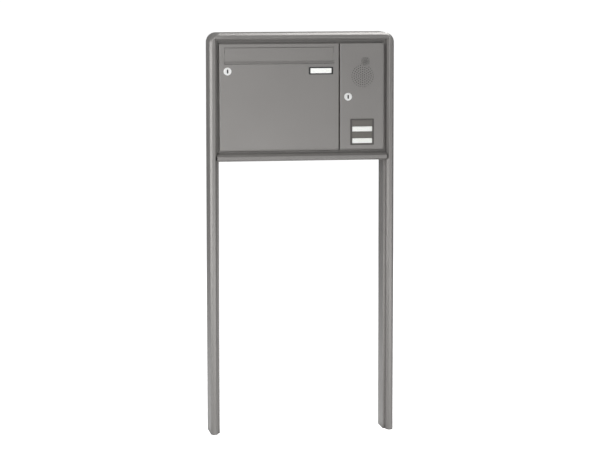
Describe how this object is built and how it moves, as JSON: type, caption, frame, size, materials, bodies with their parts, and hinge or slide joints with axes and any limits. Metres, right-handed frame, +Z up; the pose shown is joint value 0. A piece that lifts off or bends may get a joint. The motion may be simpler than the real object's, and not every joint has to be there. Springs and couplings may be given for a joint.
{
  "type": "post-mounted mailbox unit",
  "caption": "Free-standing two-post mailbox unit: lockable letterbox door with a lift-up mail flap beside an intercom door with speaker holes, push bars and name cards.",
  "frame": {"origin": "on the ground, midway between the two posts and midway through their depth", "axes": "+X to the right seen from the front, +Y towards the back, +Z up; the doors face -Y"},
  "size_m": [0.5672, 0.105, 1.23],
  "materials": {
    "frame_profile": "satin",
    "corner_cast": "satin",
    "door_paint": "satin",
    "housing_paint": "satin",
    "raw_aluminium": "satin",
    "zinc_steel": "satin",
    "lock_metal": "satin",
    "dark_plastic": "matte",
    "rubber": "matte",
    "card": "matte",
    "clear_window": "gloss",
    "circuit_board": "satin",
    "speaker_metal": "satin",
    "speaker_paper": "matte"
  },
  "bodies": {
    "frame": {"left_post": "frame_profile", "right_post": "frame_profile", "top_rail": "frame_profile", "bottom_rail": "frame_profile", "left_corner_cap": "corner_cast", "right_corner_cap": "corner_cast", "corner_brackets": "raw_aluminium", "rail_shoes": "zinc_steel", "rail_shoe_screws": "zinc_steel", "letterbox_housing": "housing_paint", "intercom_housing": "housing_paint", "intercom_cable_wall": "housing_paint", "housing_side_screws": "zinc_steel", "back_panel": "housing_paint", "back_panel_screws": "zinc_steel", "cable_grommet": "rubber", "mailbox_hinge_brackets": "zinc_steel", "mailbox_hinge_pins": "zinc_steel", "mailbox_door_buffers": "rubber", "intercom_hinge_brackets": "zinc_steel", "intercom_hinge_pins": "zinc_steel", "intercom_door_buffers": "rubber", "intercom_board": "circuit_board", "intercom_board_standoffs": "zinc_steel", "terminal_block": "dark_plastic"},
    "mailbox_door": {"mailbox_door": "door_paint", "mailbox_lock_body": "lock_metal", "mailbox_lock_nut": "zinc_steel", "flap_pin": "zinc_steel", "flap_bearings": "dark_plastic", "flap_springs": "zinc_steel", "mail_slot_frame": "zinc_steel", "mail_slot_screws": "zinc_steel", "mail_deflector": "zinc_steel", "name_frame": "dark_plastic", "name_card": "card", "name_window": "clear_window"},
    "mail_flap": {"mail_flap": "door_paint"},
    "mailbox_lock_plug": {"mailbox_lock_plug": "lock_metal", "mailbox_lock_cam": "zinc_steel", "mailbox_cam_screw": "zinc_steel"},
    "intercom_door": {"intercom_door": "door_paint", "intercom_lock_body": "lock_metal", "intercom_lock_nut": "zinc_steel", "bell_module_frame": "dark_plastic", "bell_cards": "card", "bell_windows": "clear_window", "bell_module_tray": "dark_plastic", "bell_board": "circuit_board", "bell_switches": "circuit_board", "bell_board_standoffs": "zinc_steel", "speaker_bracket": "zinc_steel", "speaker": "speaker_metal", "speaker_cone": "speaker_paper", "microphone": "rubber"},
    "intercom_lock_plug": {"intercom_lock_plug": "lock_metal", "intercom_lock_cam": "zinc_steel", "intercom_cam_screw": "zinc_steel"},
    "light_button": {"light_button": "dark_plastic"},
    "bell_button": {"bell_button": "dark_plastic"}
  },
  "joints": [
    {"name": "mailbox_door_hinge", "type": "hinge", "parent": "frame", "child": "mailbox_door", "pos_m": [0.1079, -0.0345, 1.0342], "axis": [0, 0, 1], "range_deg": [0, 100]},
    {"name": "intercom_door_hinge", "type": "hinge", "parent": "frame", "child": "intercom_door", "pos_m": [0.2481, -0.0345, 1.0342], "axis": [0, 0, 1], "range_deg": [0, 90]},
    {"name": "mail_flap_hinge", "type": "hinge", "parent": "mailbox_door", "child": "mail_flap", "pos_m": [-0.0701, -0.0361, 1.1802], "axis": [-1, 0, 0], "range_deg": [0, 75], "stiffness_Nm_per_rad": 0.02, "springref_deg": -17.19},
    {"name": "mailbox_lock_turn", "type": "hinge", "parent": "mailbox_door", "child": "mailbox_lock_plug", "pos_m": [-0.2286, -0.0325, 1.1146], "axis": [0, 1, 0], "range_deg": [0, 90]},
    {"name": "intercom_lock_turn", "type": "hinge", "parent": "intercom_door", "child": "intercom_lock_plug", "pos_m": [0.1421, -0.0325, 1.0342], "axis": [0, 1, 0], "range_deg": [0, 90]},
    {"name": "light_button_push", "type": "slide", "parent": "intercom_door", "child": "light_button", "axis": [0, 1, 0], "range_m": [0, 0.0015], "stiffness_N_per_m": 400, "springref_m": -0.001},
    {"name": "bell_button_push", "type": "slide", "parent": "intercom_door", "child": "bell_button", "axis": [0, 1, 0], "range_m": [0, 0.0015], "stiffness_N_per_m": 400, "springref_m": -0.001}
  ]
}
